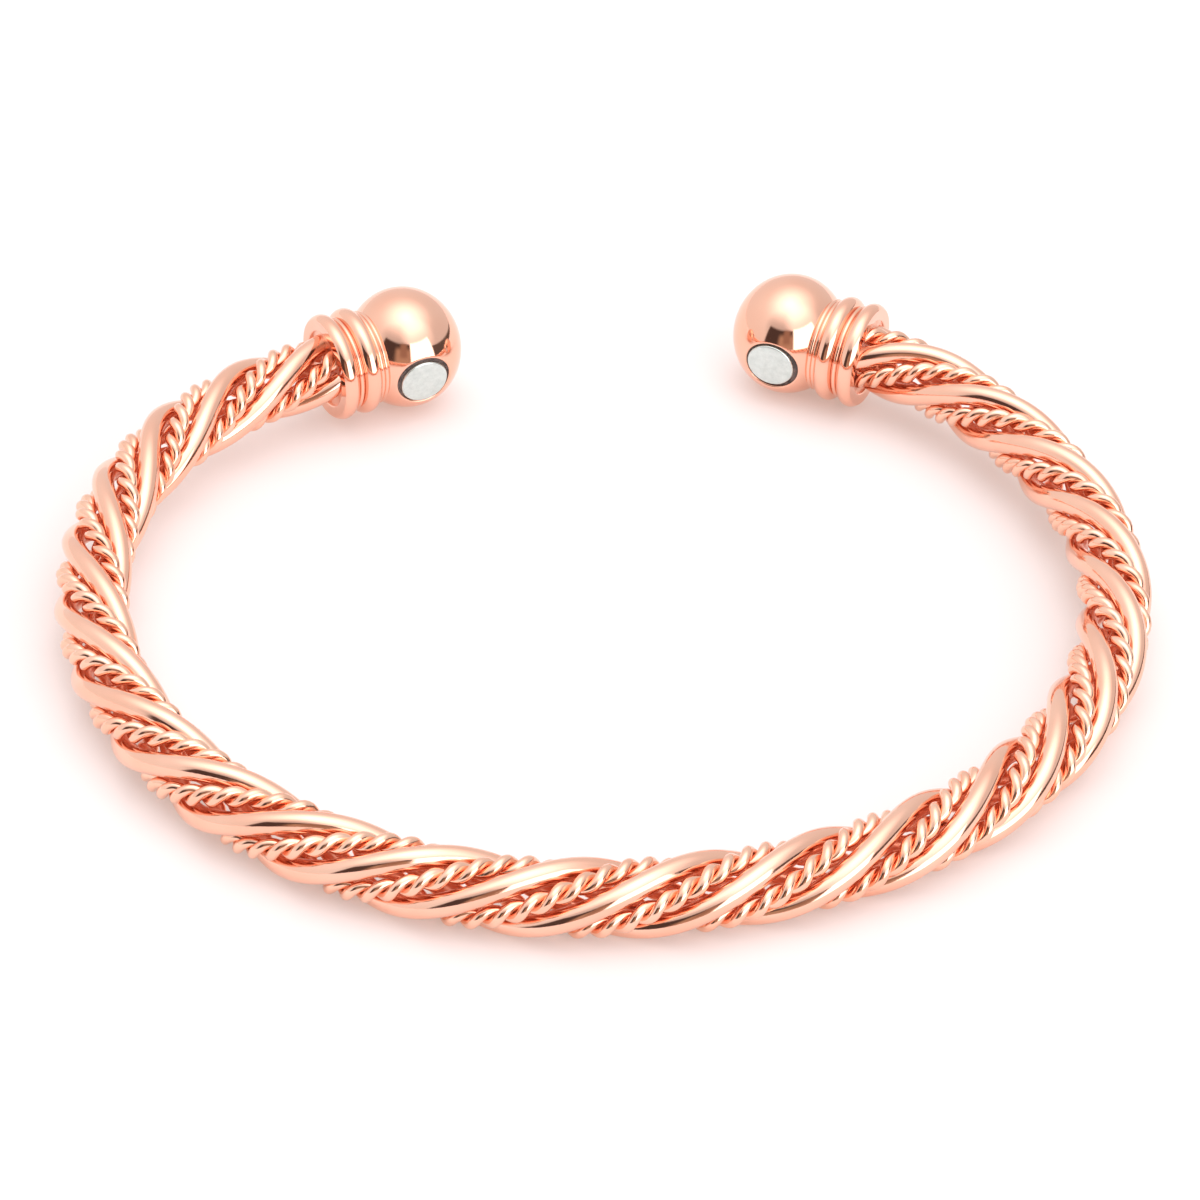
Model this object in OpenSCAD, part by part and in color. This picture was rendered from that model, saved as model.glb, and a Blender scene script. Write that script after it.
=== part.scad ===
// Open cuff bracelet lying on its side: a hollow braid of six strands, laid to the left,
// bent into a C and closed by a ball-ended cap at each end, with a disc magnet in each ball.
// Millimetres, +Z up, the front of the C at -Y, its two caps at the back, on the plane Z = 0.

/* [Wrist opening] */
// Clear width inside the braid
inner_w = 63.7; // [56:0.1:76]
// Turn of each side from the middle of the front to its cap, in degrees
wrap_deg = 153; // [142:0.5:156]

/* [Braid] */
// Diameter of a smooth wire
smooth_d = 1.55; // [1.2:0.05:2]
// Diameter of a fine wire, of which two make a twisted pair
fine_d = 0.72; // [0.55:0.01:0.9]
// Gap between neighbouring strands
strand_gap = 0.15; // [0.1:0.01:0.3]
// Length of one full turn of the braid along the band
lay_pitch = 22.8; // [18:0.1:32]
// Length of one full turn of a pair's own twist along the pair
pair_pitch = 3.45; // [2.8:0.05:5]
// Turn of the braid at the middle of the front, in degrees
lay_start = 11.5; // [0:0.5:120]

/* [Caps] */
// Diameter of the ball
ball_d = 8.8; // [7.6:0.1:11]
// Length of the ball along the cap, a little less than its diameter
ball_l = 8.2; // [7:0.1:10]
// Diameter of the neck behind the ball
neck_d = 6.5; // [5.6:0.1:7]
// Length of the plain neck between the ball and the collar
neck_l = 0.55; // [0.2:0.05:1]
// Width of each of the collar's two round ribs
rib_w = 1.4; // [1:0.05:1.8]
// Height of the ribs above the groove between them
rib_h = 0.6; // [0.3:0.05:0.8]
// Width of the groove between the ribs
groove_w = 0.4; // [0.2:0.05:0.8]
// Diameter of the fine bead lines: one in the groove and two side by side on the neck
bead_d = 0.36; // [0.12:0.01:0.4]
// Thickness of the cup's wall under the groove
cup_wall = 0.5; // [0.35:0.05:0.8]
// Depth ground off the mouth's rib, which leaves a flat face
lip_flat = 0.15; // [0.03:0.01:0.2]
// How far the strands run into the cup
seat_l = 2.5; // [1.5:0.1:3]
// Gap round the braid in the cup
socket_gap = 0.22; // [0.15:0.01:0.3]
// Gap between the strands' ends and the bottom of the cup
socket_end_gap = 0.2; // [0.15:0.05:0.5]

/* [Magnets] */
// Diameter of a disc magnet
magnet_d = 3.5; // [3:0.1:5]
// Thickness of a disc magnet
magnet_t = 2; // [1:0.1:2.5]
// Bevel round the magnet's edges
magnet_bevel = 0.15; // [0.05:0.01:0.3]
// Height of the magnet's face above the rim of its hole
magnet_proud = 0.05; // [0:0.01:0.2]
// Gap round the magnet and behind it
magnet_gap = 0.2; // [0.1:0.01:0.3]
// How far the magnets look down out of the plane of the C, in degrees
magnet_dip = 6; // [0:0.5:12]
// How far the magnets turn from square to the cap towards its cup, in degrees
magnet_turn = 4; // [0:0.5:12]

/* [Hidden] */
$fn = 72;

ROSE = "#e9ab90";
ROSE_DEEP = "#dd9474";
ROSE_FINE = "#c97f60";
SILVER = "#d4d9da";

// Strands: three smooth wires alternate with three twisted pairs, at equal angles
SMOOTH_COUNT = 3;
STRAND_STEP = 180 / SMOOTH_COUNT;
strand_reach = smooth_d / 2 + fine_d + strand_gap;
lean = 2 * PI * cos(STRAND_STEP / 2) / lay_pitch;
lay_r = strand_reach / sqrt(1 - pow(lean * strand_reach, 2));
lay_tilt = atan(2 * PI * lay_r / lay_pitch);
band_d = 2 * lay_r + max(smooth_d, 2 * fine_d);
bend_r = (inner_w + band_d) / 2;

// The hand-bent C, from the middle of the front to each cap. Each row is one arc:
// its share of the side's turn, and its radius as a share of the bend radius
RIGHT_BEND = [
    [0.205, 1.18],
    [0.265, 0.94],
    [0.255, 0.81],
    [0.150, 1.00],
    [0.125, 0.60]
];
LEFT_BEND = [
    [0.235, 0.97],
    [0.255, 0.91],
    [0.215, 0.86],
    [0.225, 0.72],
    [0.070, 0.89]
];

// Radius, turn and length of one arc, and the length of a whole side
function arc_r(row) = row[1] * bend_r;
function arc_deg(row) = row[0] * wrap_deg;
function arc_l(row) = arc_r(row) * arc_deg(row) * PI / 180;
function side_l(bend, i = 0) = i == len(bend) ? 0 : arc_l(bend[i]) + side_l(bend, i + 1);
right_l = side_l(RIGHT_BEND);
left_l = side_l(LEFT_BEND);

// Point and heading on the right side at a distance from the front, straight past the last arc
function walk(bend, s, i = 0, p = [0, 0], h = 0) =
    i == len(bend)
        ? [p[0] + s * cos(h), p[1] + s * sin(h), h]
        : let (
            r = arc_r(bend[i]),
            turn = min(s, arc_l(bend[i])) / r * 180 / PI,
            q = p + r * [sin(h + turn) - sin(h), cos(h) - cos(h + turn)]
        )
        s <= arc_l(bend[i])
            ? [q[0], q[1], h + turn]
            : walk(bend, s - arc_l(bend[i]), i + 1, q, h + turn);

// Point and heading of the whole centreline, from the left cap (s < 0) to the right one
function spine(s) =
    let (w = walk(s < 0 ? LEFT_BEND : RIGHT_BEND, abs(s)))
    s < 0 ? [-w[0], w[1], -w[2]] : w;

// Turn of the braid about the centreline
function lay_deg(s) = lay_start + 360 * s / lay_pitch;

// Outward radial direction of a strand, and its centre
function strand_out(s, deg) =
    let (h = spine(s)[2], a = lay_deg(s) + deg)
    [cos(a) * sin(h), -cos(a) * cos(h), sin(a)];
function strand_at(s, deg) =
    let (w = spine(s))
    [w[0], w[1], 0] + lay_r * strand_out(s, deg);

function unit(v) = v / norm(v);

// Half the step along the centreline over which a strand's direction is taken
PROBE = 0.05;

// Ring of points square to the strand, through the flat outline given
function strand_ring(s, deg, outline) =
    let (
        c = strand_at(s, deg),
        t = unit(strand_at(s + PROBE, deg) - strand_at(s - PROBE, deg)),
        b = unit(cross(t, strand_out(s, deg))),
        o = cross(b, t)
    )
    [for (p = outline) c + p[0] * o + p[1] * b];

// Outline of a smooth wire
SMOOTH_SIDES = 10;
SMOOTH_OUTLINE = [
    for (i = [0 : SMOOTH_SIDES - 1])
        let (a = 360 * i / SMOOTH_SIDES)
        smooth_d / 2 * [cos(a), sin(a)]
];

// Outline of a pair, turned by an angle: a flat bar whose corners stay just inside the circle
// that its two fine wires sweep. Half its width and thickness, as shares of a fine wire
PAIR_REACH = 0.93;
PAIR_THICK = 0.36;
function pair_outline(turn) = [
    for (q = [[1, 1], [-1, 1], [-1, -1], [1, -1]])
        let (x = q[0] * PAIR_REACH * fine_d, y = q[1] * PAIR_THICK * fine_d)
        [x * cos(turn) - y * sin(turn), x * sin(turn) + y * cos(turn)]
];

// Rings along a strand, from one cup to the other
SMOOTH_RINGS = 84;
PAIR_RINGS_PER_TURN = 7.5;
start_s = -left_l - seat_l;
run_l = right_l + left_l + 2 * seat_l;
pair_turns = run_l / cos(lay_tilt) / pair_pitch;
PAIR_RINGS = ceil(pair_turns * PAIR_RINGS_PER_TURN);

// Closed tube through rings of equal count, with flat ends
module tube(rings) {
    n = len(rings[0]);
    last = len(rings) - 1;
    sides = [
        for (i = [0 : last - 1])
            for (j = [0 : n - 1])
                let (a = i * n + j, b = i * n + (j + 1) % n)
                each [[a, b, b + n], [a, b + n, a + n]]
    ];
    foot = [for (j = [0 : n - 1]) n - 1 - j];
    head = [for (j = [0 : n - 1]) last * n + j];
    polyhedron(points = [for (ring = rings) each ring], faces = concat([foot, head], sides));
}

// Cap, as distances from the ball's centre to the cup's mouth
neck_at = ball_l / 2 * sqrt(1 - pow(neck_d / ball_d, 2));
inner_rib_at = neck_at + neck_l + rib_w / 2;
groove_at = inner_rib_at + (rib_w + groove_w) / 2;
mouth_rib_at = inner_rib_at + rib_w + groove_w;
mouth_at = mouth_rib_at + rib_w / 2 - lip_flat;
socket_d = band_d + 2 * socket_gap;
cup_d = socket_d + 2 * cup_wall;

// The strands' ends slant, so each reaches on past its own centre before the gap
end_reach = max(smooth_d / 2, fine_d) * sin(lay_tilt);
socket_l = seat_l + end_reach + socket_end_gap;

// Ball centres, and the headings there
right_ball = walk(RIGHT_BEND, right_l + mouth_at);
left_ball = walk(LEFT_BEND, left_l + mouth_at);

// Magnet's hole, from its rim on the ball
hole_d = magnet_d + 2 * magnet_gap;
rim_at = sqrt(pow(ball_d / 2, 2) - pow(hole_d / 2, 2));
hole_bottom_at = rim_at + magnet_proud - magnet_t - magnet_gap;

// The bracelet lies on its front and its two balls, so its plane leans a little, back and sideways
ball_rise = (ball_d - band_d) / 2;
back_slope = ball_rise * (left_ball[0] + right_ball[0])
    / (left_ball[0] * right_ball[1] + right_ball[0] * left_ball[1]);
side_slope = (ball_rise - back_slope * right_ball[1]) / right_ball[0];
lean_back = atan(back_slope);
lean_side = -atan(side_slope);

// Middle of the plan's box, from points along the centreline and how far back the balls reach
PLAN_STEPS = 180;
plan_x = [for (i = [0 : PLAN_STEPS]) spine(-left_l + i * (right_l + left_l) / PLAN_STEPS)[0]];
middle_x = (max(plan_x) + min(plan_x)) / 2;
function ball_back(ball) =
    ball[1] * cos(lean_back) + norm([ball_d * cos(ball[2]), ball_l * sin(ball[2])]) / 2;
middle_y = (max(ball_back(right_ball), ball_back(left_ball)) - band_d / 2) / 2;

module lie_down() {
    translate([-middle_x, -middle_y, band_d / 2]) rotate([lean_back, lean_side, 0]) children();
}

// Places a child drawn round +Z, which points from the ball to the cup's mouth, +Y to the wrist.
// The side is 1 on the right and -1 on the left
module at_ball(ball, side) {
    lie_down() translate([side * ball[0], ball[1], 0])
        rotate([0, 0, 90 + side * (ball[2] - 90)]) rotate([0, -90, 0]) rotate([0, 0, 90 - side * 90])
            children();
}

// Round rib or bead line, by its centre's radius and height and its thickness
module ring_of(radius, height, thickness) {
    translate([0, 0, height]) rotate_extrude() translate([radius, 0]) circle(d = thickness);
}

// Places a child drawn round +Z on the magnet's axis, out of the ball towards the wrist
module on_magnet_axis(side) {
    rotate([magnet_turn - 90, 0, side * magnet_dip]) children();
}

// Where the neck's two bead lines lie, as shares of its length
NECK_BEADS = [0.3, 0.9];

// Flattened ball, turned round the cap's axis
BALL_STEPS = 32;
module ball() {
    rotate_extrude() polygon([
        for (i = [0 : BALL_STEPS])
            let (a = 180 * i / BALL_STEPS - 90)
            [ball_d / 2 * cos(a), ball_l / 2 * sin(a)]
    ]);
}

module cap(side) {
    rib_r = cup_d / 2 + rib_h - rib_w / 2;
    difference() {
        union() {
            ball();
            cylinder(d = neck_d, h = inner_rib_at);
            translate([0, 0, inner_rib_at]) cylinder(d = cup_d, h = mouth_at - inner_rib_at);
            ring_of(rib_r, inner_rib_at, rib_w);
            ring_of(rib_r, mouth_rib_at, rib_w);
            ring_of(cup_d / 2, groove_at, bead_d);
            for (share = NECK_BEADS) ring_of(neck_d / 2, neck_at + share * neck_l, bead_d);
        }
        translate([0, 0, mouth_at]) cylinder(d = 2 * cup_d, h = rib_w);
        translate([0, 0, mouth_at - socket_l]) cylinder(d = socket_d, h = socket_l + rib_w);
        on_magnet_axis(side) translate([0, 0, hole_bottom_at]) cylinder(d = hole_d, h = ball_d);
    }
}

module magnet(side) {
    on_magnet_axis(side) translate([0, 0, rim_at + magnet_proud - magnet_t]) {
        cylinder(d1 = magnet_d - 2 * magnet_bevel, d2 = magnet_d, h = magnet_bevel);
        translate([0, 0, magnet_bevel]) cylinder(d = magnet_d, h = magnet_t - 2 * magnet_bevel);
        translate([0, 0, magnet_t - magnet_bevel])
            cylinder(d1 = magnet_d, d2 = magnet_d - 2 * magnet_bevel, h = magnet_bevel);
    }
}

module cap_left() {
    color(ROSE) at_ball(left_ball, -1) cap(-1);
}

module cap_right() {
    color(ROSE) at_ball(right_ball, 1) cap(1);
}

module magnet_left() {
    color(SILVER) at_ball(left_ball, -1) magnet(-1);
}

module magnet_right() {
    color(SILVER) at_ball(right_ball, 1) magnet(1);
}

module smooth_wire(index) {
    deg = 2 * STRAND_STEP * index;
    color(ROSE_DEEP) lie_down() tube([
        for (i = [0 : SMOOTH_RINGS])
            strand_ring(start_s + run_l * i / SMOOTH_RINGS, deg, SMOOTH_OUTLINE)
    ]);
}

module twisted_pair(index) {
    deg = 2 * STRAND_STEP * index + STRAND_STEP;
    color(ROSE_FINE) lie_down() tube([
        for (i = [0 : PAIR_RINGS])
            strand_ring(
                start_s + run_l * i / PAIR_RINGS,
                deg,
                pair_outline(-360 * pair_turns * i / PAIR_RINGS)
            )
    ]);
}

cap_left();
cap_right();
magnet_left();
magnet_right();
smooth_wire(0);  // smooth_wire_1
smooth_wire(1);  // smooth_wire_2
smooth_wire(2);  // smooth_wire_3
twisted_pair(0);  // twisted_pair_1
twisted_pair(1);  // twisted_pair_2
twisted_pair(2);  // twisted_pair_3
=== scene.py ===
"""Open cuff bracelet: rose-gold wires, fine twisted pairs, ball caps and disc magnets."""

import math

import bmesh
import bpy
import numpy as np
from mathutils import Matrix, Vector


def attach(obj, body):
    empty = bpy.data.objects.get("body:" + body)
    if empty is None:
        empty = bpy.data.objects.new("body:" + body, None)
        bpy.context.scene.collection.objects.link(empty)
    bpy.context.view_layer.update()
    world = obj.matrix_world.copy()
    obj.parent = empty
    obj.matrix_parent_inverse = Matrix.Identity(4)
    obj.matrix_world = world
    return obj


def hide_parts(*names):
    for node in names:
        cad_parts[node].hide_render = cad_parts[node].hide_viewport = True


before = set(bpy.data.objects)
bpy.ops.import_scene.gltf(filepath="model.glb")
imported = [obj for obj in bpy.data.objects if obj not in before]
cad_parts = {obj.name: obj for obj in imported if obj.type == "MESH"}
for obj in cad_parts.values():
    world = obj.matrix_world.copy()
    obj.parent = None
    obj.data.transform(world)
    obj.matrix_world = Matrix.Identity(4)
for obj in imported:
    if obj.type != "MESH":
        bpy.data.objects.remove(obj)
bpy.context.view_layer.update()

# Shapes are drawn in millimetres and scaled by this as they are placed
MM = 0.001

# Driving sizes of the bracelet in millimetres and degrees, the same as in its solids
INNER_W = 63.7
WRAP_DEG = 153
SMOOTH_D = 1.55
FINE_D = 0.72
STRAND_GAP = 0.15
LAY_PITCH = 22.8
PAIR_PITCH = 3.45
LAY_START = 11.5
BALL_D = 8.8
BALL_L = 8.2
NECK_D = 6.5
NECK_L = 0.55
RIB_W = 1.4
RIB_H = 0.6
GROOVE_W = 0.4
BEAD_D = 0.36
CUP_WALL = 0.5
LIP_FLAT = 0.15
SEAT_L = 2.5
SOCKET_GAP = 0.22
SOCKET_END_GAP = 0.2
MAGNET_D = 3.5
MAGNET_T = 2
MAGNET_PROUD = 0.05
MAGNET_GAP = 0.2
MAGNET_DIP = 6
MAGNET_TURN = 4
NECK_BEADS = (0.3, 0.9)

# The hand-bent C, from the middle of the front to each cap: each arc's share of the
# side's turn, and its radius as a share of the bend radius
RIGHT_BEND = [(0.205, 1.18), (0.265, 0.94), (0.255, 0.81), (0.150, 1.00), (0.125, 0.60)]
LEFT_BEND = [(0.235, 0.97), (0.255, 0.91), (0.215, 0.86), (0.225, 0.72), (0.070, 0.89)]

# What follows from the driving sizes
STRAND_STEP = 60
STRAND_REACH = SMOOTH_D / 2 + FINE_D + STRAND_GAP
LEAN = 2 * math.pi * math.cos(math.radians(STRAND_STEP / 2)) / LAY_PITCH
LAY_R = STRAND_REACH / math.sqrt(1 - (LEAN * STRAND_REACH) ** 2)
LAY_TILT = math.atan(2 * math.pi * LAY_R / LAY_PITCH)
BAND_D = 2 * LAY_R + max(SMOOTH_D, 2 * FINE_D)
BEND_R = (INNER_W + BAND_D) / 2


def arc_length(arc):
    """Length of the centreline over one arc of the C."""
    share, radius = arc
    return radius * BEND_R * math.radians(share * WRAP_DEG)


RIGHT_L = sum(arc_length(arc) for arc in RIGHT_BEND)
LEFT_L = sum(arc_length(arc) for arc in LEFT_BEND)


def walk(bend, s):
    """Point and heading (radians) at a distance s from the front, straight past the last arc."""
    x, y, heading = 0.0, 0.0, 0.0
    for share, radius in bend:
        r = radius * BEND_R
        length = arc_length((share, radius))
        turn = min(s, length) / r
        x += r * (math.sin(heading + turn) - math.sin(heading))
        y += r * (math.cos(heading) - math.cos(heading + turn))
        heading += turn
        s -= length
        if s <= 0:
            return x, y, heading
    return x + s * math.cos(heading), y + s * math.sin(heading), heading


def spine(s):
    """Point and heading of the centreline, from the left cap (s < 0) to the right one."""
    if s >= 0:
        return walk(RIGHT_BEND, s)
    x, y, heading = walk(LEFT_BEND, -s)
    return -x, y, -heading


def lay_angle(s):
    """Turn of the braid about the centreline, in radians."""
    return math.radians(LAY_START) + 2 * math.pi * s / LAY_PITCH


# Cap, as distances from the ball's centre to the cup's mouth
NECK_AT = BALL_L / 2 * math.sqrt(1 - (NECK_D / BALL_D) ** 2)
INNER_RIB_AT = NECK_AT + NECK_L + RIB_W / 2
GROOVE_AT = INNER_RIB_AT + (RIB_W + GROOVE_W) / 2
MOUTH_RIB_AT = INNER_RIB_AT + RIB_W + GROOVE_W
MOUTH_AT = MOUTH_RIB_AT + RIB_W / 2 - LIP_FLAT
SOCKET_D = BAND_D + 2 * SOCKET_GAP
CUP_D = SOCKET_D + 2 * CUP_WALL
END_REACH = max(SMOOTH_D / 2, FINE_D) * math.sin(LAY_TILT)
SOCKET_L = SEAT_L + END_REACH + SOCKET_END_GAP
RIGHT_BALL = walk(RIGHT_BEND, RIGHT_L + MOUTH_AT)
LEFT_BALL = walk(LEFT_BEND, LEFT_L + MOUTH_AT)

# Magnet's hole, from its rim on the ball
HOLE_D = MAGNET_D + 2 * MAGNET_GAP
RIM_AT = math.sqrt((BALL_D / 2) ** 2 - (HOLE_D / 2) ** 2)
FACE_AT = RIM_AT + MAGNET_PROUD
HOLE_BOTTOM_AT = FACE_AT - MAGNET_T - MAGNET_GAP


def ball_reach(heading):
    """Half of a flattened ball's size along Y, with its cap along the heading."""
    return math.hypot(BALL_D * math.cos(heading), BALL_L * math.sin(heading)) / 2


def lying_matrix():
    """From the flat C round its front point to the bracelet resting on its front and two balls."""
    rise = (BALL_D - BAND_D) / 2
    (left_x, left_y, _), (right_x, right_y, _) = LEFT_BALL, RIGHT_BALL
    back_slope = rise * (left_x + right_x) / (left_x * right_y + right_x * left_y)
    side_slope = (rise - back_slope * right_y) / right_x
    lean_back = math.atan(back_slope)
    lean_side = -math.atan(side_slope)
    steps = 180
    xs = [spine(-LEFT_L + i * (RIGHT_L + LEFT_L) / steps)[0] for i in range(steps + 1)]
    middle_x = (max(xs) + min(xs)) / 2
    back_y = max(
        y * math.cos(lean_back) + ball_reach(heading) for _, y, heading in (LEFT_BALL, RIGHT_BALL)
    )
    middle_y = (back_y - BAND_D / 2) / 2
    return (
        Matrix.Translation((-middle_x, -middle_y, BAND_D / 2))
        @ Matrix.Rotation(lean_side, 4, "Y")
        @ Matrix.Rotation(lean_back, 4, "X")
    )


LIE_DOWN = lying_matrix()


def at_ball(ball, side):
    """Matrix for a shape drawn round +Z, from the ball to the mouth, with +Y to the wrist."""
    x, y, heading = ball
    quarter = math.pi / 2
    return (
        LIE_DOWN
        @ Matrix.Translation((side * x, y, 0))
        @ Matrix.Rotation(quarter + side * (heading - quarter), 4, "Z")
        @ Matrix.Rotation(-quarter, 4, "Y")
        @ Matrix.Rotation(quarter - side * quarter, 4, "Z")
    )


def place(points, matrix):
    """Millimetre points through a matrix, in metres."""
    m = np.array(matrix)
    return (np.asarray(points) @ m[:3, :3].T + m[:3, 3]) * MM


def new_mesh(name, points, faces):
    """Mesh from plain points and faces."""
    mesh = bpy.data.meshes.new(name)
    mesh.from_pydata([tuple(p) for p in points], [], faces)
    return mesh


def link(name, data):
    """New object, put in the scene."""
    piece = bpy.data.objects.new(name, data)
    bpy.context.scene.collection.objects.link(piece)
    return piece


def new_piece(name, points, faces, material, slot, *nodes, inside=None):
    """Smooth mesh piece that stands for CAD nodes and rides with the bracelet.

    inside says for each point, from 0 to 1, how much painted bounce light it gets: a deeper red
    tint, a rougher surface and a faint red glow.
    """
    mesh = new_mesh(name, points, faces)
    if inside is not None:
        mesh.attributes.new("inside", "FLOAT", "POINT").data.foreach_set("value", inside)
    mesh.materials.append(material)
    mesh.polygons.foreach_set("use_smooth", [True] * len(mesh.polygons))
    mesh.update()
    piece = link(name, mesh)
    if nodes:
        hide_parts(*nodes)
        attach(piece, "root")
    return piece


# Strands: where they start and how far they run along the centreline, and the turns of a pair

START_S = -LEFT_L - SEAT_L
RUN_L = RIGHT_L + LEFT_L + 2 * SEAT_L
PAIR_TURNS = RUN_L / math.cos(LAY_TILT) / PAIR_PITCH
# Points round and along the tubes
SMOOTH_SIDES = 28
SMOOTH_RINGS = 480
FINE_SIDES = 14
FINE_RINGS_PER_TURN = 20
# Where the painted red of bounced light fades in, as the cosine between the surface and the way to
# the middle of the braid or to the twin wire, and how much of it is painted where the twins touch
HIDDEN_FACING = (0.05, 0.6)
CREVICE_FACING = (0.1, 0.8)
CREVICE = 0.25


def unit_rows(v):
    """The same directions, each of length 1."""
    return v / np.linalg.norm(v, axis=1, keepdims=True)


def strand_frames(deg, steps):
    """Centres of a strand and its outward and sideways directions, at even steps."""
    points, outs = [], []
    for i in range(steps + 1):
        s = START_S + RUN_L * i / steps
        x, y, h = spine(s)
        a = lay_angle(s) + math.radians(deg)
        out = (math.cos(a) * math.sin(h), -math.cos(a) * math.cos(h), math.sin(a))
        outs.append(out)
        points.append((x + LAY_R * out[0], y + LAY_R * out[1], LAY_R * out[2]))
    return square_frames(np.array(points), np.array(outs))


def square_frames(points, outs):
    """The points, with each outward direction made square to the path, and the third direction."""
    along = unit_rows(np.gradient(points, axis=0))
    sides = unit_rows(np.cross(along, outs))
    return points, np.cross(sides, along), sides


def smooth_step(value, low, high):
    """0 up to low, 1 from high on, and an even S between them."""
    share = np.clip((value - low) / (high - low), 0, 1)
    return share * share * (3 - 2 * share)


def tube(points, outs, sides, radius, count):
    """Vertices, normals and faces of a closed round tube, with first index 0."""
    turn = (np.arange(count) * 2 * math.pi / count)[None, :, None]
    normals = np.cos(turn) * outs[:, None, :] + np.sin(turn) * sides[:, None, :]
    vertices = (points[:, None, :] + radius * normals).reshape(-1, 3)
    rings = len(points)
    faces = []
    for i in range(rings - 1):
        for j in range(count):
            a, b = i * count + j, i * count + (j + 1) % count
            faces.append((a, b, b + count, a + count))
    faces.append(tuple(range(count - 1, -1, -1)))
    faces.append(tuple(range((rings - 1) * count, rings * count)))
    return vertices, normals, faces


def facing(normals, directions):
    """How far each normal of a tube looks along the direction of its ring."""
    return (normals * directions[:, None, :]).sum(axis=2).ravel()


def smooth_wire(index, material):
    """One thick round wire of the braid."""
    points, outs, sides = strand_frames(2 * STRAND_STEP * index, SMOOTH_RINGS)
    vertices, normals, faces = tube(points, outs, sides, SMOOTH_D / 2, SMOOTH_SIDES)
    # Painted bounce light on the side that faces the hollow of the braid
    inside = smooth_step(-facing(normals, outs), *HIDDEN_FACING)
    return new_piece(
        f"round_wire_{index + 1}", place(vertices, LIE_DOWN), faces,
        material, "smooth_wire", f"smooth_wire_{index + 1}", inside=inside,
    )


def twisted_pair(index, material):
    """Two fine wires wound round each other, in one piece."""
    rings = math.ceil(PAIR_TURNS * FINE_RINGS_PER_TURN)
    centres, outs, sides = strand_frames(2 * STRAND_STEP * index + STRAND_STEP, rings)
    twist = -2 * math.pi * PAIR_TURNS * np.arange(rings + 1) / rings
    all_vertices, all_faces, all_inside, first = [], [], [], 0
    for wire in range(2):
        a = (twist + math.pi * wire)[:, None]
        radial = np.cos(a) * outs + np.sin(a) * sides
        path = square_frames(centres + FINE_D / 2 * radial, radial)
        vertices, normals, faces = tube(*path, FINE_D / 2, FINE_SIDES)
        # Painted bounce light on the sides that face the hollow of the braid and in the crevice
        # where the twin wires touch
        to_middle = smooth_step(-facing(normals, outs), *HIDDEN_FACING)
        to_twin = CREVICE * smooth_step(-facing(normals, radial), *CREVICE_FACING)
        all_inside.append(np.maximum(to_middle, to_twin))
        all_vertices.append(vertices)
        all_faces += [tuple(v + first for v in face) for face in faces]
        first += len(vertices)
    return new_piece(
        f"fine_wires_{index + 1}", place(np.concatenate(all_vertices), LIE_DOWN), all_faces,
        material, "twisted_wire", f"twisted_pair_{index + 1}", inside=np.concatenate(all_inside),
    )


# Caps: points round them, steps over a rounded rim and over the ball, which ends just short of
# its pole, and the angle between faces from which an edge is sharp

LATHE_SIDES = 180
EDGE_STEPS = 6
BALL_STEPS = 110
LAST_RING_DEG = -89
CAP_SHARP_DEG = 35
# Rounding of the rims of the socket and of the magnet's hole
RIM_ROUND = 0.11
# How far inside the ball the collar starts
COLLAR_SUNK = 0.4


def arc(centre, radius, start_deg, end_deg, steps):
    """Points (r, z) on an arc, with 0 degrees outward and 90 degrees along +Z."""
    angles = np.radians(np.linspace(start_deg, end_deg, steps + 1))
    return [(centre[0] + radius * math.cos(a), centre[1] + radius * math.sin(a)) for a in angles]


def lathe(profile, count=LATHE_SIDES):
    """Vertices and faces of a shape turned round +Z from (r, z) points, both ends on the axis."""
    inner = profile[1:-1]
    turn = np.arange(count) * 2 * math.pi / count
    vertices = [(0, 0, profile[0][1])]
    for r, z in inner:
        vertices += [(r * math.cos(t), r * math.sin(t), z) for t in turn]
    vertices.append((0, 0, profile[-1][1]))
    last = len(vertices) - 1
    faces = []
    for j in range(count):
        k = (j + 1) % count
        faces.append((0, 1 + k, 1 + j))
        for i in range(len(inner) - 1):
            a, b = 1 + i * count + j, 1 + i * count + k
            faces.append((a, b, b + count, a + count))
        foot = 1 + (len(inner) - 1) * count
        faces.append((foot + j, foot + k, last))
    return np.array(vertices), faces


def meeting(low, high):
    """Where two round ribs (r, z, radius) meet on their outer sides, as an angle on each."""
    dr, dz = high[0] - low[0], high[1] - low[1]
    apart = math.hypot(dr, dz)
    along = (apart ** 2 + low[2] ** 2 - high[2] ** 2) / (2 * apart)
    out = math.sqrt(low[2] ** 2 - along ** 2)
    r, z = (along * dr + out * dz) / apart, (along * dz - out * dr) / apart
    return math.degrees(math.atan2(z, r)), math.degrees(math.atan2(z - dz, r - dr))


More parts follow.
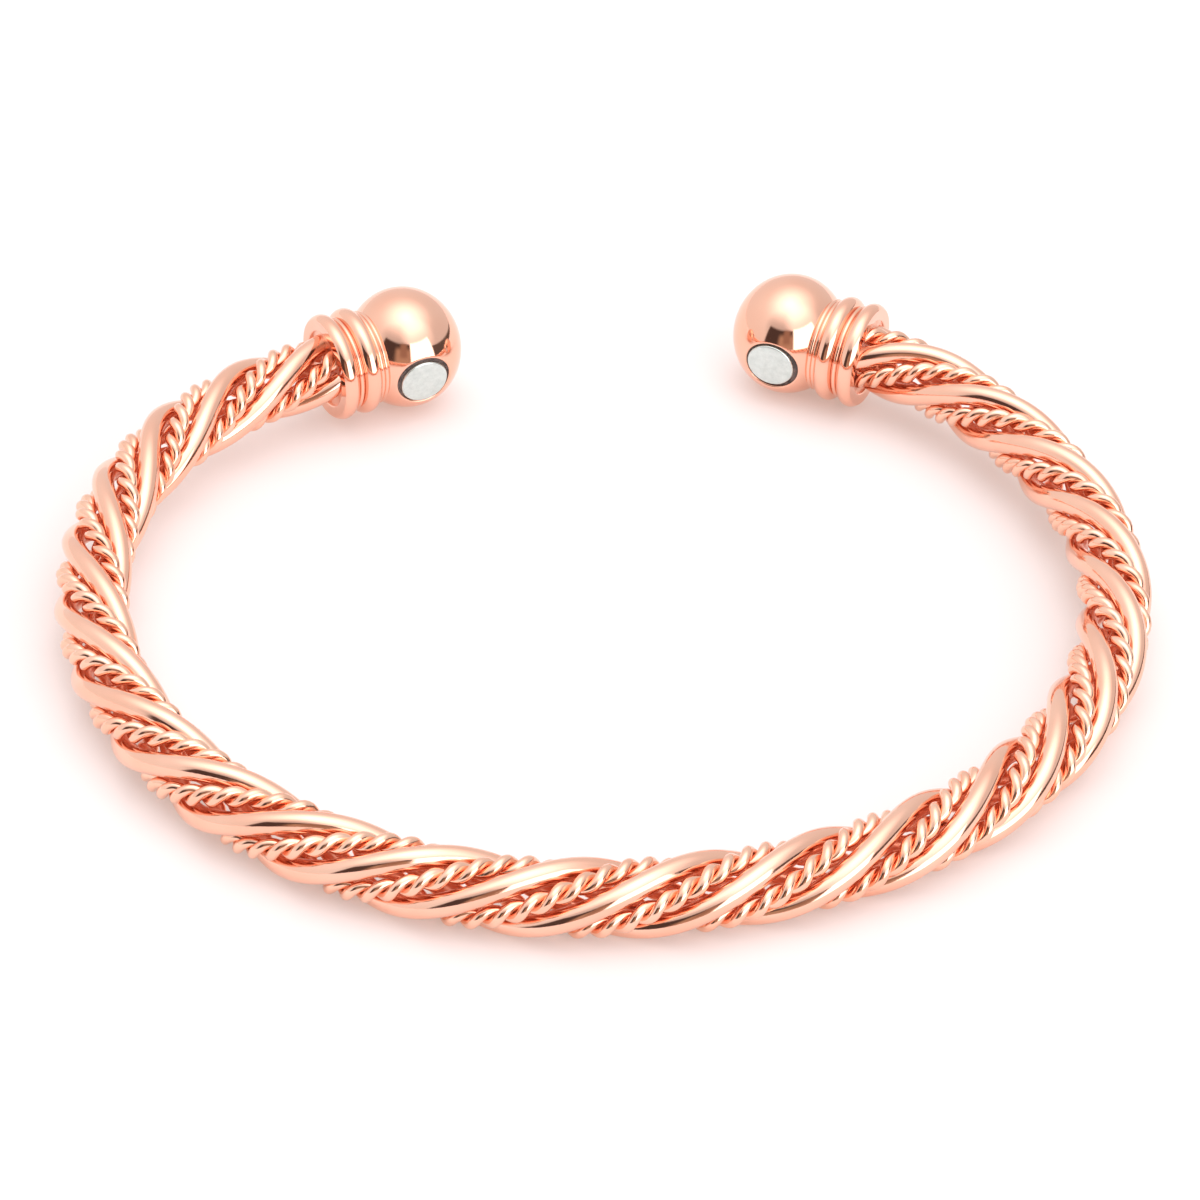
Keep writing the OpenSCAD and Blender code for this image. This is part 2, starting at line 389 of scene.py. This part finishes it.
def collar_profile():
    """From inside the ball along the neck and over the ribs to the mouth, then down the socket."""
    neck_r, cup_r, socket_r = NECK_D / 2, CUP_D / 2, SOCKET_D / 2
    rib_r, half_rib = cup_r + RIB_H - RIB_W / 2, RIB_W / 2
    inside_ball = NECK_AT - COLLAR_SUNK
    to_groove = math.degrees(math.acos((cup_r - rib_r) / half_rib))
    lip_deg = math.degrees(math.asin((half_rib - LIP_FLAT) / half_rib))
    first, second = ((neck_r, NECK_AT + share * NECK_L, BEAD_D / 2) for share in NECK_BEADS)
    inner_rib = (rib_r, INNER_RIB_AT, half_rib)
    first_end, second_start = meeting(first, second)
    second_end, rib_start = meeting(second, inner_rib)
    profile = [(0, inside_ball), (neck_r, inside_ball)]
    rounds = [
        (first, -90, first_end, 14),
        (second, second_start, second_end, 12),
        (inner_rib, rib_start, to_groove, 24),
        ((cup_r, GROOVE_AT, BEAD_D / 2), -90, 90, 16),
        ((rib_r, MOUTH_RIB_AT, half_rib), -to_groove, lip_deg, 24),
    ]
    for (r, z, radius), start_deg, end_deg, steps in rounds:
        profile += arc((r, z), radius, start_deg, end_deg, steps)
    profile += arc((socket_r + RIM_ROUND, MOUTH_AT - RIM_ROUND), RIM_ROUND, 90, 180, EDGE_STEPS)
    profile += [(socket_r, MOUTH_AT - SOCKET_L), (0, MOUTH_AT - SOCKET_L)]
    return profile


# Centre of the rounded rim of the magnet's hole, as radius and height
RIM_POINT = (
    HOLE_D / 2 + RIM_ROUND,
    math.sqrt((BALL_D / 2 - RIM_ROUND) ** 2 - (HOLE_D / 2 + RIM_ROUND) ** 2),
)
# Where the ball's shape stops following the hole, in degrees from the magnet's axis
BLEND_DEG = 75
# Points of the hole higher than this over its bottom belong to its rim
RIM_OVER_BOTTOM = 0.5


def ball_profile():
    """The ball round the magnet's axis, up to the hole's rounded rim, its wall and its bottom."""
    hole_r, ball_r = HOLE_D / 2, BALL_D / 2
    rim_deg = math.degrees(math.atan2(RIM_POINT[1], RIM_POINT[0]))
    profile = [(0, HOLE_BOTTOM_AT), (hole_r, HOLE_BOTTOM_AT)]
    profile += arc(RIM_POINT, RIM_ROUND, 180, rim_deg, EDGE_STEPS)
    profile += arc((0, 0), ball_r, rim_deg, LAST_RING_DEG, BALL_STEPS)[1:]
    profile.append((0, -ball_r))
    return profile[::-1]


def to_wrist(side):
    """Turns +Z to the magnet's axis, out of the ball towards the wrist and a little down."""
    dip, turn = side * math.radians(MAGNET_DIP), math.radians(MAGNET_TURN)
    return Matrix.Rotation(dip, 4, "Z") @ Matrix.Rotation(turn - math.pi / 2, 4, "X")


def flatten_ball(vertices, cap_axis):
    """Presses the ball along the cap's axis and keeps its hole round.

    Near the rim a point moves only along the magnet's axis (+Z here), further out along the cap's.
    """
    x, y, z = vertices.T
    ball_r, half_l = BALL_D / 2, BALL_L / 2
    squash = 1 / half_l ** 2 - 1 / ball_r ** 2
    reach = np.hypot(x, y)
    on_ball = np.isclose(np.linalg.norm(vertices, axis=1), ball_r, atol=1e-6)
    on_rim = ~on_ball & (z > HOLE_BOTTOM_AT + RIM_OVER_BOTTOM)

    # Height of the flattened ball over a point, and of the round one
    side_x, side_y = x.copy(), y.copy()
    rim_r = RIM_POINT[0] * ball_r / (ball_r - RIM_ROUND)
    side_x[on_rim] *= rim_r / reach[on_rim]
    side_y[on_rim] *= rim_r / reach[on_rim]
    slant = side_x * cap_axis[0] + side_y * cap_axis[1]
    a = 1 / ball_r ** 2 + squash * cap_axis[2] ** 2
    b = squash * cap_axis[2] * slant
    c = (side_x ** 2 + side_y ** 2) / ball_r ** 2 + squash * slant ** 2 - 1
    flat_height = (-b + np.sqrt(np.maximum(b * b - a * c, 0))) / a
    round_height = np.sqrt(np.maximum(ball_r ** 2 - side_x ** 2 - side_y ** 2, 0))

    lowered = vertices.copy()
    lowered[:, 2] = np.where(on_rim, z + flat_height - round_height, flat_height)
    pressed = vertices + (BALL_L / BALL_D - 1) * np.outer(vertices @ cap_axis, cap_axis)
    from_axis = np.degrees(np.arctan2(reach, z))
    rim_deg = math.degrees(math.asin(rim_r / ball_r))
    share = smooth_step(from_axis, rim_deg, BLEND_DEG)[:, None]
    blended = (1 - share) * lowered + share * pressed
    size = np.sqrt((blended ** 2).sum(1) / ball_r ** 2 + squash * (blended @ cap_axis) ** 2)
    out = vertices.copy()
    out[on_ball] = (blended / size[:, None])[on_ball]
    out[on_rim] = lowered[on_rim]
    return out


# Solder in the mouth of a cup: how far below the rim it lies at its top, at its bottom side and at
# the least, and how far it runs into the cup's wall
SOLDER_TOP = 0.12
SOLDER_LOW = 0.32
SOLDER_LEAST = 0.05
SOLDER_OVERLAP = 0.05
# Its waves, each with its height, its count round the cup and its start in degrees, and how far
# they swirl from the middle to the wall, in radians
SOLDER_WAVES = [(0.07, 3, 40), (0.05, 7, 110), (0.03, 13, 20)]
SOLDER_SWIRL = 4
SOLDER_RINGS = 14
SOLDER_SIDES = 96


def solder(side):
    """Points and faces of the uneven solder between the strands, drawn round the cap's axis."""
    reach = SOCKET_D / 2 + SOLDER_OVERLAP
    points = [(0, 0, MOUTH_AT - (SOLDER_TOP + SOLDER_LOW) / 2)]
    faces = []
    for i in range(1, SOLDER_RINGS + 1):
        share = i / SOLDER_RINGS
        for j in range(SOLDER_SIDES):
            turn = 2 * math.pi * j / SOLDER_SIDES
            up = side * math.cos(turn) * share
            sunk = SOLDER_TOP + (SOLDER_LOW - SOLDER_TOP) * (1 - up) / 2
            wave = sum(
                height * math.sin(count * turn + math.radians(start) + SOLDER_SWIRL * share)
                for height, count, start in SOLDER_WAVES
            )
            points.append((
                reach * share * math.cos(turn),
                reach * share * math.sin(turn),
                MOUTH_AT - max(sunk - wave * share, SOLDER_LEAST),
            ))
            k = (j + 1) % SOLDER_SIDES
            if i == 1:
                faces.append((0, 1 + j, 1 + k))
            else:
                inner, outer = 1 + (i - 2) * SOLDER_SIDES, 1 + (i - 1) * SOLDER_SIDES
                faces.append((inner + j, outer + j, outer + k, inner + k))
    return np.array(points), faces


def temporary(name, points, faces):
    """Object that is only there to be fused into another."""
    mesh = new_mesh(name, points, faces)
    mesh.update()
    return link(name, mesh)


def cap(name, ball, side, material, fill, node):
    """Ball and collar fused into one turned cap, with the solder in its cup."""
    matrix = at_ball(ball, side)
    vertices, faces = lathe(collar_profile())
    collar = temporary("collar", place(vertices, matrix) / MM, faces)
    vertices, faces = lathe(ball_profile())
    cap_axis = np.array(to_wrist(side).to_3x3().transposed() @ Vector((0, 0, 1)))
    vertices = flatten_ball(vertices, cap_axis)
    body = temporary("ball", place(vertices, matrix @ to_wrist(side)) / MM, faces)
    fuse = body.modifiers.new("fuse", "BOOLEAN")
    fuse.operation = "UNION"
    fuse.solver = "EXACT"
    fuse.object = collar
    depsgraph = bpy.context.evaluated_depsgraph_get()
    mesh = bpy.data.meshes.new_from_object(body.evaluated_get(depsgraph))
    mesh.transform(Matrix.Scale(MM, 4))
    metal_faces = len(mesh.polygons)
    joined = bmesh.new()
    joined.from_mesh(mesh)
    points, faces = solder(side)
    corners = [joined.verts.new(p) for p in place(points, matrix)]
    for face in faces:
        joined.faces.new([corners[i] for i in face])
    joined.to_mesh(mesh)
    joined.free()
    mesh.name = name
    mesh.materials.clear()
    mesh.materials.append(material)
    mesh.materials.append(fill)
    mesh.polygons.foreach_set("use_smooth", [True] * len(mesh.polygons))
    is_solder = [int(i >= metal_faces) for i in range(len(mesh.polygons))]
    mesh.polygons.foreach_set("material_index", is_solder)
    mesh.set_sharp_from_angle(angle=math.radians(CAP_SHARP_DEG))
    piece = link(name, mesh)
    bpy.data.objects.remove(body)
    bpy.data.objects.remove(collar)
    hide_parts(node)
    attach(piece, "root")
    return piece


# Magnets: points round them, the rounding of the disc's edge and the steps over it, rings on its
# face as shares of its radius, and the angle from which an edge is sharp

MAGNET_SIDES = 96
MAGNET_EDGE = 0.13
MAGNET_EDGE_STEPS = 8
FACE_RINGS = (0.8, 0.6, 0.4, 0.2)
MAGNET_SHARP_DEG = 40
# How far each disc is glued off the middle of its hole, and to which side
MAGNET_SHIFT = 0.1
LEFT_SHIFT_DEG = 9
RIGHT_SHIFT_DEG = 54
# The ring of adhesive: how deep it lies under the disc's face, how hollow its top is, and how far
# it reaches under the disc and into the metal
GLUE_BELOW = 0.32
GLUE_DISH = 0.06
GLUE_UNDER = 0.08
GLUE_OVERLAP = 0.02


def magnet_profile():
    """The disc, from its back to its face."""
    r = MAGNET_D / 2
    profile = [(0, FACE_AT - MAGNET_T), (r, FACE_AT - MAGNET_T)]
    corner = (r - MAGNET_EDGE, FACE_AT - MAGNET_EDGE)
    profile += arc(corner, MAGNET_EDGE, 0, 90, MAGNET_EDGE_STEPS)
    profile += [(r * share, FACE_AT) for share in FACE_RINGS]
    profile.append((0, FACE_AT))
    return profile


def glue_profile():
    """Ring of dark adhesive in the gap round the magnet, a little hollow at its top."""
    inner_r = MAGNET_D / 2 - GLUE_UNDER
    outer_r = HOLE_D / 2 + GLUE_OVERLAP
    middle_r = (inner_r + outer_r) / 2
    bottom, top = HOLE_BOTTOM_AT - GLUE_OVERLAP, FACE_AT - GLUE_BELOW
    return [
        (0, bottom), (outer_r, bottom), (outer_r, top),
        (middle_r, top - GLUE_DISH), (inner_r, top), (0, top),
    ]


def magnet(name, ball, side, shift_deg, metal, glue, node):
    """Disc magnet, glued a little off the middle of its hole."""
    matrix = at_ball(ball, side) @ to_wrist(side)
    turn = math.radians(shift_deg)
    shift = Matrix.Translation((MAGNET_SHIFT * math.cos(turn), MAGNET_SHIFT * math.sin(turn), 0))
    vertices, faces = lathe(magnet_profile(), MAGNET_SIDES)
    glue_vertices, glue_faces = lathe(glue_profile(), MAGNET_SIDES)
    points = np.concatenate([place(vertices, matrix @ shift), place(glue_vertices, matrix)])
    all_faces = faces + [tuple(v + len(vertices) for v in face) for face in glue_faces]
    piece = new_piece(name, points, all_faces, metal, "magnet", node)
    piece.data.materials.append(glue)
    for polygon in piece.data.polygons[len(faces):]:
        polygon.material_index = 1
    piece.data.set_sharp_from_angle(angle=math.radians(MAGNET_SHARP_DEG))
    return piece


# Materials. Scales of noise are per metre, depths of bumps in metres

# Depth of the fine bumps of a polished face
POLISH_DEPTH = 0.00002

# Each plating: its two tints, the range of its roughness and how strongly the hairlines show
CAP_PLATING = ((0.96, 0.56, 0.42), (0.95, 0.52, 0.38), (0.05, 0.09), 0.05)
SMOOTH_PLATING = ((0.97, 0.58, 0.44), (0.95, 0.53, 0.39), (0.07, 0.12), 0.08)
FINE_PLATING = ((0.97, 0.61, 0.46), (0.95, 0.54, 0.39), (0.09, 0.16), 0.1)
DRIFT_SCALE = 220
CLOUD_SCALE = 900
HAIRLINE_SCALE = 2600
HAIRLINE_STRETCH = (1, 1, 6)
# Painted deeper red on the sides of the wires that face the hollow of the braid, for light that
# bounces there, and a rougher surface there
PAINTED_BOUNCE_RED = (0.96, 0.46, 0.31)
HOLLOW_ROUGHNESS = 0.28
# Faint red light there, for light that bounces in the hollow more often than a render follows it
HOLLOW_GLOW = (0.052, 0.012, 0.006)

NICKEL_TINTS = ((0.73, 0.81, 0.79), (0.6, 0.68, 0.66))
NICKEL_ROUGHNESS = (0.28, 0.42)
NICKEL_BUMP = 0.25
MOTTLE_SCALE = 2500
PATCH_SCALE = 700

SOLDER_TINTS = ((0.95, 0.62, 0.5), (0.93, 0.5, 0.37))
SOLDER_ROUGHNESS = (0.3, 0.5)
SOLDER_BUMP = 0.6
SOLDER_DEPTH = 0.00012
SOLDER_LUMPS_SCALE = 1100

GLUE_TINTS = ((0.05, 0.03, 0.028), (0.17, 0.11, 0.1))
GLUE_ROUGHNESS = 0.1
GLUE_BUMP = 0.9
GLUE_DEPTH = 0.0003
GLUE_LUMPS_SCALE = 1700


def new_material(name):
    """New material, its node tree and its shader."""
    material = bpy.data.materials.new(name)
    material.use_nodes = True
    nodes = material.node_tree.nodes
    return material, material.node_tree, nodes["Principled BSDF"]


def add(tree, kind, **values):
    """New node with its settings."""
    node = tree.nodes.new(kind)
    for key, value in values.items():
        setattr(node, key, value)
    return node


def object_coords(tree):
    """Coordinates that lie fast on the object."""
    return add(tree, "ShaderNodeTexCoord").outputs["Object"]


def noise(tree, coords, scale, detail=3.0, roughness=0.5):
    """Noise that lies mostly between 0.3 and 0.7."""
    node = add(tree, "ShaderNodeTexNoise")
    node.inputs["Scale"].default_value = scale
    node.inputs["Detail"].default_value = detail
    node.inputs["Roughness"].default_value = roughness
    tree.links.new(coords, node.inputs["Vector"])
    return node.outputs["Fac"]


def map_range(tree, value, low, high, to_low, to_high, smooth=False):
    """The value brought from one range to another, and held at its ends."""
    node = add(tree, "ShaderNodeMapRange")
    node.interpolation_type = "SMOOTHSTEP" if smooth else "LINEAR"
    limits = {"From Min": low, "From Max": high, "To Min": to_low, "To Max": to_high}
    for socket, number in limits.items():
        node.inputs[socket].default_value = number
    tree.links.new(value, node.inputs["Value"])
    return node.outputs["Result"]


def mix_colour(tree, factor, a, b):
    """Colour a where the factor is 0 and b where it is 1, each a colour or a socket."""
    node = add(tree, "ShaderNodeMix", data_type="RGBA")
    tree.links.new(factor, node.inputs["Factor"])
    for socket, colour in ((node.inputs[6], a), (node.inputs[7], b)):
        if isinstance(colour, tuple):
            socket.default_value = (*colour, 1)
        else:
            tree.links.new(colour, socket)
    return node.outputs[2]


def bumps(tree, shader, height, strength, depth):
    """Relief on the shader from a height."""
    node = add(tree, "ShaderNodeBump")
    node.inputs["Strength"].default_value = strength
    node.inputs["Distance"].default_value = depth
    tree.links.new(height, node.inputs["Height"])
    tree.links.new(node.outputs["Normal"], shader.inputs["Normal"])


def rose_gold(name, plating, painted_bounce=False):
    """Polished plating: slow drift of tint, faint clouding of the polish, hairline scratches."""
    light, deep, rough, scratches = plating
    material, tree, shader = new_material(name)
    coords = object_coords(tree)
    drift = noise(tree, coords, DRIFT_SCALE)
    cloud = noise(tree, coords, CLOUD_SCALE, 5)
    tint = mix_colour(tree, map_range(tree, drift, 0.35, 0.65, 0, 1), light, deep)
    roughness = map_range(tree, cloud, 0.3, 0.7, *rough)
    # Painted bounce light in the braid's hollow: a deeper red tint, more roughness and a faint red
    # glow
    if painted_bounce:
        inside = add(tree, "ShaderNodeAttribute", attribute_name="inside").outputs["Fac"]
        tint = mix_colour(tree, inside, tint, PAINTED_BOUNCE_RED)
        rougher = add(tree, "ShaderNodeMix", data_type="FLOAT")
        rougher.inputs[3].default_value = HOLLOW_ROUGHNESS
        tree.links.new(inside, rougher.inputs[0])
        tree.links.new(roughness, rougher.inputs[2])
        roughness = rougher.outputs[0]
        shader.inputs["Emission Color"].default_value = (*HOLLOW_GLOW, 1)
        tree.links.new(inside, shader.inputs["Emission Strength"])
    tree.links.new(tint, shader.inputs["Base Color"])
    tree.links.new(roughness, shader.inputs["Roughness"])
    stretch = add(tree, "ShaderNodeMapping")
    stretch.inputs["Scale"].default_value = HAIRLINE_STRETCH
    tree.links.new(coords, stretch.inputs["Vector"])
    hairline = noise(tree, stretch.outputs["Vector"], HAIRLINE_SCALE, 6, 0.6)
    bumps(tree, shader, hairline, scratches, POLISH_DEPTH)
    shader.inputs["Metallic"].default_value = 1
    return material


def nickel(name):
    """Satin nickel plate, finely mottled."""
    material, tree, shader = new_material(name)
    coords = object_coords(tree)
    mottle = noise(tree, coords, MOTTLE_SCALE, 6, 0.65)
    patch = noise(tree, coords, PATCH_SCALE, 2)
    tint = mix_colour(tree, map_range(tree, mottle, 0.35, 0.7, 0, 1), *NICKEL_TINTS)
    tree.links.new(tint, shader.inputs["Base Color"])
    roughness = map_range(tree, patch, 0.3, 0.7, *NICKEL_ROUGHNESS)
    tree.links.new(roughness, shader.inputs["Roughness"])
    bumps(tree, shader, mottle, NICKEL_BUMP, POLISH_DEPTH)
    shader.inputs["Metallic"].default_value = 1
    return material


def solder_metal(name):
    """Matt plated solder, lumpy and pale pink."""
    material, tree, shader = new_material(name)
    lumps = noise(tree, object_coords(tree), SOLDER_LUMPS_SCALE, 5, 0.6)
    tint = mix_colour(tree, map_range(tree, lumps, 0.35, 0.65, 0, 1), *SOLDER_TINTS)
    tree.links.new(tint, shader.inputs["Base Color"])
    roughness = map_range(tree, lumps, 0.3, 0.7, *SOLDER_ROUGHNESS)
    tree.links.new(roughness, shader.inputs["Roughness"])
    bumps(tree, shader, lumps, SOLDER_BUMP, SOLDER_DEPTH)
    shader.inputs["Metallic"].default_value = 1
    return material


def adhesive(name):
    """Dark adhesive, uneven and glossy."""
    material, tree, shader = new_material(name)
    lumps = noise(tree, object_coords(tree), GLUE_LUMPS_SCALE)
    tint = mix_colour(tree, map_range(tree, lumps, 0.35, 0.7, 0, 1), *GLUE_TINTS)
    tree.links.new(tint, shader.inputs["Base Color"])
    bumps(tree, shader, lumps, GLUE_BUMP, GLUE_DEPTH)
    shader.inputs["Roughness"].default_value = GLUE_ROUGHNESS
    return material


# Studio

# Camera, fitted to the photograph: metres, degrees, and millimetres for the lens
CAMERA_TARGET = (-0.00023, 0.00261, 0)
CAMERA_DISTANCE = 0.27737
CAMERA_ELEVATION = 37.07
CAMERA_YAW = -2.33
CAMERA_ROLL = 1.97
CAMERA_LENS = 121.41
SENSOR_WIDTH = 36


def camera():
    """Camera at the photograph's angle to the bracelet."""
    e, yaw, roll = (math.radians(v) for v in (CAMERA_ELEVATION, CAMERA_YAW, CAMERA_ROLL))
    back = Vector((math.sin(yaw) * math.cos(e), -math.cos(yaw) * math.cos(e), math.sin(e)))
    right = Vector((math.cos(yaw), math.sin(yaw), 0))
    up = back.cross(right)
    rolled_right = math.cos(roll) * right + math.sin(roll) * up
    rolled_up = -math.sin(roll) * right + math.cos(roll) * up
    data = bpy.data.cameras.new("camera")
    data.lens = CAMERA_LENS
    data.sensor_width = SENSOR_WIDTH
    data.clip_start = 0.01
    data.clip_end = 50
    eye = link("camera", data)
    turn = Matrix((rolled_right, rolled_up, back)).transposed().to_4x4()
    eye.matrix_world = Matrix.Translation(Vector(CAMERA_TARGET) + back * CAMERA_DISTANCE) @ turn
    bpy.context.scene.camera = eye


# Floor: half its side in metres, its colour, and the light that comes up through it
FLOOR_HALF = 3
FLOOR_COLOUR = (0.7, 0.635, 0.65)
FLOOR_GLOW = (0.27, 0.245, 0.215)


def floor():
    """Pale floor under the bracelet, a matt opal sheet."""
    material, _, shader = new_material("pale_floor")
    shader.inputs["Base Color"].default_value = (*FLOOR_COLOUR, 1)
    shader.inputs["Emission Color"].default_value = (*FLOOR_GLOW, 1)
    shader.inputs["Emission Strength"].default_value = 1
    shader.inputs["Roughness"].default_value = 0.9
    shader.inputs["Specular IOR Level"].default_value = 0.1
    signs = ((-1, -1), (1, -1), (1, 1), (-1, 1))
    corners = [(x * FLOOR_HALF, y * FLOOR_HALF, 0) for x, y in signs]
    ground = new_piece("floor", corners, [(0, 1, 2, 3)], material, None)


# The studio round the bracelet, as light by direction: a white tent, brightest overhead, open in
# front to a darker room with a bright window on the right. Azimuth is 0 towards the front (-Y)
# and grows to the right, elevation is 0 at the horizon, both in degrees.
# The tent's light at each elevation
TENT = [
    (0, 0.87), (20, 0.88), (36, 0.92), (45, 1.04),
    (55, 1.37), (65, 1.75), (75, 2.1), (90, 2.8),
]
# The side where the tent is brighter, by how much, and the elevations between which that ends
SIDE_AZIMUTH = -105
SIDE_SWING = 0.13
SWING_FADE = (30, 60)
# Each glow: azimuth, elevation, its reach in degrees, and the light that it adds or takes away
GLOWS = [(38, 46, 42, 0.5), (-32, 41, 34, -0.33)]
# Each view out of the tent: left and right azimuth, low and high elevation, softness, colour
ROOM = (-54.5, 30, -9, 36, 2.5, (0.083, 0.06, 0.055))
SCREEN = (-23, 9, -9, 26, 6, (0.52, 0.37, 0.27))
SCREEN_TOP = (-14, 2, 10, 37, 5, (0.36, 0.23, 0.17))
WINDOW = (9.5, 61.5, -9, 37.5, 2.5, (2.9, 2.9, 2.9))
# Dark gap low on the right: highest at the window, it slopes down to where it runs out
GAP_LEFT, GAP_RIGHT, GAP_HIGH = 62, 136, 20
GAP_SOFT = 1.5
GAP_LOW, GAP_LOW_SOFT = -1, 0.5
GAP_LIGHT = (0.13, 0.11, 0.1)


def studio():
    """World light worked out from the direction alone."""
    world = bpy.data.worlds.new("studio")
    bpy.context.scene.world = world
    world.use_nodes = True
    tree = world.node_tree
    direction = add(tree, "ShaderNodeTexCoord").outputs["Generated"]
    parts = add(tree, "ShaderNodeSeparateXYZ")
    tree.links.new(direction, parts.inputs[0])
    x, y, z = parts.outputs

    def calc(operation, a, b=0.0):
        """One step of arithmetic, on numbers or sockets."""
        node = add(tree, "ShaderNodeMath", operation=operation)
        for socket, value in zip(node.inputs, (a, b)):
            if isinstance(value, (int, float)):
                socket.default_value = value
            else:
                tree.links.new(value, socket)
        return node.outputs[0]

    azimuth = calc("DEGREES", calc("ARCTAN2", x, calc("MULTIPLY", y, -1)))
    elevation = calc("DEGREES", calc("ARCSINE", z))

    tent = add(tree, "ShaderNodeValToRGB")
    ramp = tent.color_ramp
    ramp.interpolation = "B_SPLINE"
    brightest = max(light for _, light in TENT)
    for i, (at, light) in enumerate(TENT):
        stop = ramp.elements[i] if i < 2 else ramp.elements.new(at / 90)
        stop.position = at / 90
        stop.color = (light / brightest,) * 3 + (1,)
    tree.links.new(calc("DIVIDE", elevation, 90), tent.inputs[0])
    swing = calc("COSINE", calc("RADIANS", calc("SUBTRACT", azimuth, SIDE_AZIMUTH)))
    low = map_range(tree, elevation, *SWING_FADE, SIDE_SWING, 0, True)
    swung = calc("MULTIPLY", calc("ADD", calc("MULTIPLY", swing, low), 1), brightest)
    light = calc("MULTIPLY", tent.outputs["Color"], swung)

    for at, high, reach, change in GLOWS:
        a, e = math.radians(at), math.radians(high)
        aim = (math.sin(a) * math.cos(e), -math.cos(a) * math.cos(e), math.sin(e))
        towards = add(tree, "ShaderNodeVectorMath", operation="DOT_PRODUCT")
        towards.inputs[1].default_value = aim
        tree.links.new(direction, towards.inputs[0])
        edge = math.cos(math.radians(reach))
        glow = map_range(tree, towards.outputs["Value"], edge, 1, 0, change, True)
        light = calc("ADD", light, glow)

    def edge_mask(value, at, soft):
        """1 above an edge for a positive softness, 1 below it for a negative one."""
        low, high = (0, 1) if soft > 0 else (1, 0)
        return map_range(tree, value, at - abs(soft), at + abs(soft), low, high, True)

    for left, right, low, high, soft, colour in (ROOM, SCREEN, SCREEN_TOP, WINDOW):
        mask = calc("MULTIPLY", edge_mask(azimuth, left, soft), edge_mask(azimuth, right, -soft))
        mask = calc("MULTIPLY", mask, edge_mask(elevation, low, soft))
        mask = calc("MULTIPLY", mask, edge_mask(elevation, high, -soft))
        light = mix_colour(tree, mask, light, colour)

    fall = GAP_HIGH / (GAP_RIGHT - GAP_LEFT)
    over_gap = calc("ADD", elevation, calc("MULTIPLY", calc("SUBTRACT", azimuth, GAP_LEFT), fall))
    under_slope = edge_mask(over_gap, GAP_HIGH, -GAP_SOFT)
    gap = calc("MULTIPLY", under_slope, edge_mask(azimuth, GAP_LEFT, GAP_SOFT))
    gap = calc("MULTIPLY", gap, edge_mask(elevation, GAP_LOW, GAP_LOW_SOFT))
    light = mix_colour(tree, gap, light, GAP_LIGHT)
    tree.links.new(light, tree.nodes["Background"].inputs["Color"])


def build():
    """The studio with its camera, and the bracelet's ten pieces."""
    camera()
    floor()
    studio()
    bpy.context.scene.view_settings.view_transform = "Standard"
    cap_metal = rose_gold("polished_cap", CAP_PLATING)
    smooth_metal = rose_gold("smooth_wire", SMOOTH_PLATING, painted_bounce=True)
    fine_metal = rose_gold("twisted_wire", FINE_PLATING, painted_bounce=True)
    fill = solder_metal("solder")
    for i in range(3):
        smooth_wire(i, smooth_metal)
        twisted_pair(i, fine_metal)
    cap("turned_cap_left", LEFT_BALL, -1, cap_metal, fill, "cap_left")
    cap("turned_cap_right", RIGHT_BALL, 1, cap_metal, fill, "cap_right")
    metal, glue = nickel("magnet"), adhesive("adhesive")
    magnet("disc_magnet_left", LEFT_BALL, -1, LEFT_SHIFT_DEG, metal, glue, "magnet_left")
    magnet("disc_magnet_right", RIGHT_BALL, 1, RIGHT_SHIFT_DEG, metal, glue, "magnet_right")


build()
